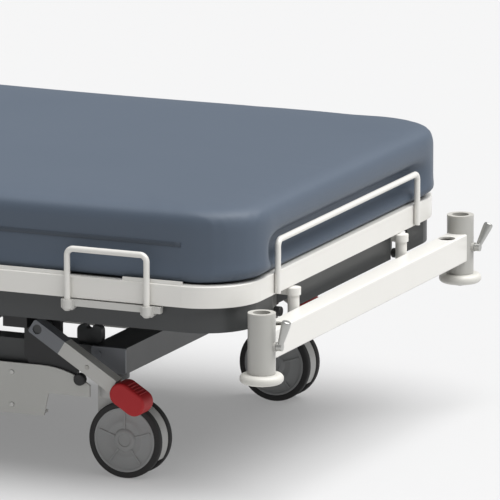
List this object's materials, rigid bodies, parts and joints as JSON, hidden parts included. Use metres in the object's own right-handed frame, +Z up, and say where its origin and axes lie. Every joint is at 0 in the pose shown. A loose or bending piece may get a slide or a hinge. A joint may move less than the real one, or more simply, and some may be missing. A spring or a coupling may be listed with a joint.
{
  "type": "hospital stretcher trolley",
  "caption": "Height-adjustable patient trolley: slate-blue mattress, white rail and end bars with corner sockets, parallelogram lift, twin-wheel castors, folding side rails.",
  "frame": {"origin": "on the floor, under the middle of the deck", "axes": "+X along the mattress towards the foot end, +Y towards the patient's left side, +Z up"},
  "size_m": [2.1194, 0.978, 0.467],
  "materials": {
    "white_paint": "off-white powder coat, satin",
    "dark_paint": "dark grey powder coat, satin",
    "grey_paint": "light grey powder coat, satin",
    "grey_plastic": "light grey moulded plastic",
    "black_plastic": "black moulded plastic",
    "panel_laminate": "grey compact laminate",
    "cover_fabric": "slate blue coated cover, matt",
    "bumper_plastic": "pale grey moulded plastic",
    "socket_plastic": "pale insert",
    "steel": "zinc plated",
    "chrome_steel": "polished",
    "tyre": "black tread on dark grey wheel",
    "castor_plastic": "grey moulded plastic",
    "red_plastic": "red moulded plastic"
  },
  "bodies": {
    "base": {"base_frame": "dark_paint", "beam_caps": "dark_paint", "strap_hooks": "dark_paint", "side_covers": "grey_plastic", "cover_knobs": "black_plastic", "lift_cylinder": "steel", "pump_body": "dark_paint", "pedal_brackets": "black_plastic"},
    "deck": {"deck_rail": "white_paint", "deck_skirt": "dark_paint", "deck_frame": "dark_paint", "deck_lugs": "dark_paint", "panel_foot": "panel_laminate", "gas_spring_tube": "steel", "mattress_fold": "cover_fabric", "mattress_foot": "cover_fabric", "crossbars": "white_paint", "corner_sockets": "grey_paint", "socket_inserts": "socket_plastic", "bumper_bolts": "steel", "crossbar_posts": "white_paint", "crossbar_plates": "steel", "crossbar_knobs": "black_plastic", "end_hoops": "white_paint", "side_hoops": "white_paint", "hoop_brackets": "grey_paint", "guard_mounts": "white_paint"},
    "foot_arms": {"lift_arms_foot": "dark_paint"},
    "head_arms": {"lift_arms_head": "dark_paint"},
    "lift_rod": {"lift_rod": "chrome_steel"},
    "backrest": {"panel_back": "panel_laminate", "backrest_frame": "dark_paint", "mattress_back": "cover_fabric"},
    "gas_spring_rod": {"gas_spring_rod": "chrome_steel"},
    "pedals": {"pedal_shaft": "steel", "pedal_knuckles": "dark_paint", "pedal_arms": "grey_paint", "pedal_pads": "red_plastic"},
    "guard_right_post_head": {"guard_right_post_head": "white_paint"},
    "guard_right_post_foot": {"guard_right_post_foot": "white_paint"},
    "guard_right_bar": {"guard_right_bar": "white_paint"},
    "guard_left_post_head": {"guard_left_post_head": "white_paint"},
    "guard_left_post_foot": {"guard_left_post_foot": "white_paint"},
    "guard_left_bar": {"guard_left_bar": "white_paint"},
    "bumper_foot_right": {"bumper_foot_right": "bumper_plastic"},
    "clamp_foot_right": {"clamp_foot_right": "chrome_steel"},
    "castor_foot_right_swivel": {"castor_foot_right_hood": "castor_plastic"},
    "castor_foot_right_wheels": {"castor_foot_right_wheels": "tyre"},
    "bumper_foot_left": {"bumper_foot_left": "bumper_plastic"},
    "clamp_foot_left": {"clamp_foot_left": "chrome_steel"},
    "castor_foot_left_swivel": {"castor_foot_left_hood": "castor_plastic"},
    "castor_foot_left_wheels": {"castor_foot_left_wheels": "tyre"},
    "bumper_head_right": {"bumper_head_right": "bumper_plastic"},
    "clamp_head_right": {"clamp_head_right": "chrome_steel"},
    "castor_head_right_swivel": {"castor_head_right_hood": "castor_plastic"},
    "castor_head_right_wheels": {"castor_head_right_wheels": "tyre"},
    "bumper_head_left": {"bumper_head_left": "bumper_plastic"},
    "clamp_head_left": {"clamp_head_left": "chrome_steel"},
    "castor_head_left_swivel": {"castor_head_left_hood": "castor_plastic"},
    "castor_head_left_wheels": {"castor_head_left_wheels": "tyre"}
  },
  "joints": [
    {"name": "lift", "type": "hinge", "parent": "base", "child": "foot_arms", "pos_m": [0.06, 0, 0.19], "axis": [0, -1, 0], "range_deg": [0, 52]},
    {"name": "deck_level", "type": "hinge", "parent": "foot_arms", "child": "deck", "pos_m": [0.47591, 0, 0.24845], "axis": [0, -1, 0], "range_deg": [-52, 0]},
    {"name": "head_arms_swing", "type": "hinge", "parent": "base", "child": "head_arms", "pos_m": [-0.56, 0, 0.19], "axis": [0, -1, 0], "range_deg": [0, 52]},
    {"name": "lift_rod_slide", "type": "slide", "parent": "base", "child": "lift_rod", "axis": [1, 0, 0], "range_m": [0, 0.06838]},
    {"name": "backrest_tilt", "type": "hinge", "parent": "deck", "child": "backrest", "pos_m": [-0.12, 0, 0.334], "axis": [0, 1, 0], "range_deg": [0, 60], "deforming": ["mattress_fold"]},
    {"name": "gas_spring_slide", "type": "slide", "parent": "deck", "child": "gas_spring_rod", "axis": [-1, 0, 0], "range_m": [0, 0.0867]},
    {"name": "pedal_press", "type": "hinge", "parent": "base", "child": "pedals", "pos_m": [0.602, 0, 0.242], "axis": [0, 1, 0], "range_deg": [0, 12], "stiffness_Nm_per_rad": 12, "springref_deg": -34.38},
    {"name": "guard_right_fold", "type": "hinge", "parent": "deck", "child": "guard_right_post_head", "pos_m": [-0.15, -0.458, 0.333], "axis": [0, 1, 0], "range_deg": [0, 88]},
    {"name": "guard_right_bar_level", "type": "hinge", "parent": "guard_right_post_head", "child": "guard_right_bar", "pos_m": [-0.47, -0.458, 0.333], "axis": [0, 1, 0], "range_deg": [-88, 0]},
    {"name": "guard_right_foot_post", "type": "hinge", "parent": "deck", "child": "guard_right_post_foot", "pos_m": [0.35, -0.458, 0.333], "axis": [0, 1, 0], "range_deg": [0, 88]},
    {"name": "guard_left_fold", "type": "hinge", "parent": "deck", "child": "guard_left_post_head", "pos_m": [-0.15, 0.458, 0.333], "axis": [0, 1, 0], "range_deg": [0, 88]},
    {"name": "guard_left_bar_level", "type": "hinge", "parent": "guard_left_post_head", "child": "guard_left_bar", "pos_m": [-0.47, 0.458, 0.333], "axis": [0, 1, 0], "range_deg": [-88, 0]},
    {"name": "guard_left_foot_post", "type": "hinge", "parent": "deck", "child": "guard_left_post_foot", "pos_m": [0.35, 0.458, 0.333], "axis": [0, 1, 0], "range_deg": [0, 88]},
    {"name": "bumper_foot_right_roll", "type": "hinge", "parent": "deck", "child": "bumper_foot_right", "pos_m": [1.01, -0.4107, 0.2075], "axis": [0, 0, 1], "continuous": true},
    {"name": "clamp_foot_right_turn", "type": "hinge", "parent": "deck", "child": "clamp_foot_right", "pos_m": [1.03, -0.4107, 0.2606], "axis": [1, 0, 0], "range_deg": [-90, 90]},
    {"name": "castor_foot_right_swivel", "type": "hinge", "parent": "base", "child": "castor_foot_right_swivel", "pos_m": [0.703, -0.3, 0.165], "axis": [0, 0, 1], "continuous": true},
    {"name": "castor_foot_right_roll", "type": "hinge", "parent": "castor_foot_right_swivel", "child": "castor_foot_right_wheels", "pos_m": [0.733, -0.3, 0.0625], "axis": [0, 1, 0], "continuous": true},
    {"name": "bumper_foot_left_roll", "type": "hinge", "parent": "deck", "child": "bumper_foot_left", "pos_m": [1.01, 0.4107, 0.2075], "axis": [0, 0, 1], "continuous": true},
    {"name": "clamp_foot_left_turn", "type": "hinge", "parent": "deck", "child": "clamp_foot_left", "pos_m": [1.03, 0.4107, 0.2606], "axis": [1, 0, 0], "range_deg": [-90, 90]},
    {"name": "castor_foot_left_swivel", "type": "hinge", "parent": "base", "child": "castor_foot_left_swivel", "pos_m": [0.703, 0.3, 0.165], "axis": [0, 0, 1], "continuous": true},
    {"name": "castor_foot_left_roll", "type": "hinge", "parent": "castor_foot_left_swivel", "child": "castor_foot_left_wheels", "pos_m": [0.733, 0.3, 0.0625], "axis": [0, 1, 0], "continuous": true},
    {"name": "bumper_head_right_roll", "type": "hinge", "parent": "deck", "child": "bumper_head_right", "pos_m": [-1.01, -0.4107, 0.2075], "axis": [0, 0, 1], "continuous": true},
    {"name": "clamp_head_right_turn", "type": "hinge", "parent": "deck", "child": "clamp_head_right", "pos_m": [-1.03, -0.4107, 0.2606], "axis": [-1, 0, 0], "range_deg": [-90, 90]},
    {"name": "castor_head_right_swivel", "type": "hinge", "parent": "base", "child": "castor_head_right_swivel", "pos_m": [-0.703, -0.3, 0.165], "axis": [0, 0, 1], "continuous": true},
    {"name": "castor_head_right_roll", "type": "hinge", "parent": "castor_head_right_swivel", "child": "castor_head_right_wheels", "pos_m": [-0.673, -0.3, 0.0625], "axis": [0, 1, 0], "continuous": true},
    {"name": "bumper_head_left_roll", "type": "hinge", "parent": "deck", "child": "bumper_head_left", "pos_m": [-1.01, 0.4107, 0.2075], "axis": [0, 0, 1], "continuous": true},
    {"name": "clamp_head_left_turn", "type": "hinge", "parent": "deck", "child": "clamp_head_left", "pos_m": [-1.03, 0.4107, 0.2606], "axis": [-1, 0, 0], "range_deg": [-90, 90]},
    {"name": "castor_head_left_swivel", "type": "hinge", "parent": "base", "child": "castor_head_left_swivel", "pos_m": [-0.703, 0.3, 0.165], "axis": [0, 0, 1], "continuous": true},
    {"name": "castor_head_left_roll", "type": "hinge", "parent": "castor_head_left_swivel", "child": "castor_head_left_wheels", "pos_m": [-0.673, 0.3, 0.0625], "axis": [0, 1, 0], "continuous": true}
  ],
  "couplings": [
    {"joint": "deck_level", "follows": "lift", "ratio": -1},
    {"joint": "head_arms_swing", "follows": "lift", "ratio": 1},
    {"joint": "lift_rod_slide", "follows": "lift", "m_per_rad": 0.075237},
    {"joint": "gas_spring_slide", "follows": "backrest_tilt", "m_per_rad": 0.082699},
    {"joint": "guard_right_bar_level", "follows": "guard_right_fold", "ratio": -1},
    {"joint": "guard_right_foot_post", "follows": "guard_right_fold", "ratio": 1},
    {"joint": "guard_left_bar_level", "follows": "guard_left_fold", "ratio": -1},
    {"joint": "guard_left_foot_post", "follows": "guard_left_fold", "ratio": 1}
  ]
}
